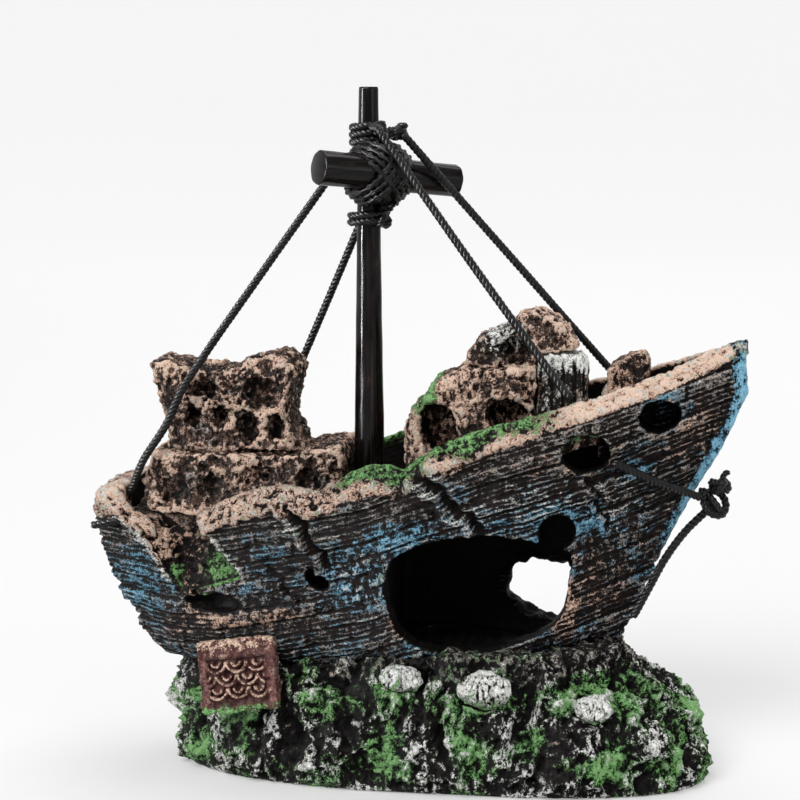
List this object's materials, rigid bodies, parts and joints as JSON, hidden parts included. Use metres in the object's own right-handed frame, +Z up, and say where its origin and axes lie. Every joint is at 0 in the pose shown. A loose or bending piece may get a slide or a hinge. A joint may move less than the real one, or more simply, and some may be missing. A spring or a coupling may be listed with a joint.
{
  "type": "bubbling ornament",
  "caption": "Sunken sailing ship on a rock base, with a swim-through cave in the hull, deck houses, a mast with a lashed yard, cord rigging and an air stone under the cave",
  "frame": {"origin": "on the ground, under the middle of the ornament", "axes": "+X runs from the stern to the bow, -Y is the ship's starboard side, where the large cave mouth is, and +Z is up"},
  "size_m": [0.122, 0.0471, 0.129],
  "materials": {
    "rock": "black cast resin rock dry-brushed with moss green and white",
    "hull_resin": "cast resin planking, black in the grooves, dry-brushed sky blue, tan and white",
    "deck_resin": "cast resin planks, dark brown with tan highlights and moss",
    "house_resin": "pitted cast resin, black in the pits with pinkish tan highlights",
    "crate_resin": "dark ribbed resin with a white-painted top",
    "plaque_resin": "dark red-brown resin, satin",
    "white_stone": "white-painted stone with dark pits",
    "air_stone": "porous sintered grit",
    "air_fitting": "translucent off-white moulded plastic",
    "spar": "wooden dowel, glossy black-brown paint",
    "cord": "black waxed twisted cord"
  },
  "bodies": {
    "ship": {"rock_base": "rock", "hull": "hull_resin", "quarterdeck": "deck_resin", "waist_deck": "deck_resin", "foredeck": "deck_resin", "stern_tier": "house_resin", "stern_cabin": "house_resin", "forecastle": "house_resin", "forecastle_cabin": "house_resin", "crate": "crate_resin", "bow_bitt": "house_resin", "plaque": "plaque_resin", "white_stone_front": "white_stone", "white_stone_left": "white_stone", "white_stone_right": "white_stone", "air_stone": "air_stone", "air_nipple": "air_fitting", "mast": "spar", "masthead_hitch": "cord", "lower_hitch": "cord", "masthead_knot": "cord", "stay_aft_starboard": "cord", "stay_aft_port": "cord", "stay_fore_starboard": "cord", "stay_fore_port": "cord", "stern_cord_end": "cord", "bow_line": "cord", "stem_line": "cord", "bow_knot": "cord"},
    "yard": {"yard": "spar", "yard_lashing": "cord"}
  },
  "joints": [
    {"name": "yard_swivel", "type": "hinge", "parent": "ship", "child": "yard", "pos_m": [-0.0099, 0, 0.1128], "axis": [0, 0, 1], "range_deg": [-4, 15]}
  ]
}
